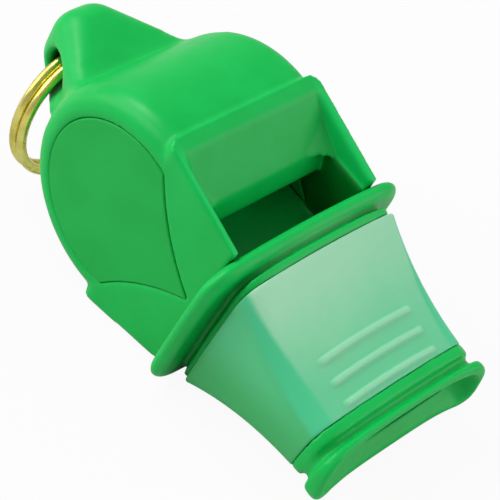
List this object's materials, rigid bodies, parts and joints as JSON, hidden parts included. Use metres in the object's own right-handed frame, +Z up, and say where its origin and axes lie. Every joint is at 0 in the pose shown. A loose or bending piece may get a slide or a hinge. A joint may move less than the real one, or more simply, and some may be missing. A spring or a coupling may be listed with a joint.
{
  "type": "sports whistle",
  "caption": "Pealess whistle with stacked sound chambers, teardrop side covers, a soft mouth grip and a freely swinging split ring on its lug.",
  "frame": {"origin": "on the table below the middle of the whole part's bounding box, with the whistle at rest, nose low, on its lower window and its flange", "axes": "+X towards the mouthpiece, +Y to the whistle's left, +Z up from the table"},
  "size_m": [0.0586, 0.0296, 0.0275],
  "materials": {
    "green_body": "glossy moulded ABS",
    "green_cover": "glossy moulded ABS, welded in",
    "milky_rubber": "milky translucent soft elastomer over green plastic",
    "brass_ring": "bright brass-plated wire"
  },
  "bodies": {
    "whistle": {"chamber_body": "green_body", "left_cover": "green_cover", "right_cover": "green_cover", "mouthpiece": "green_body", "windway_plug": "green_body", "mouth_grip": "milky_rubber"},
    "ring": {"split_ring": "brass_ring"}
  },
  "joints": [
    {"name": "ring_swing", "type": "hinge", "parent": "whistle", "child": "ring", "pos_m": [-0.02494, 0, 0.01787], "axis": [0, 1, 0], "range_deg": [-17, 212]}
  ]
}
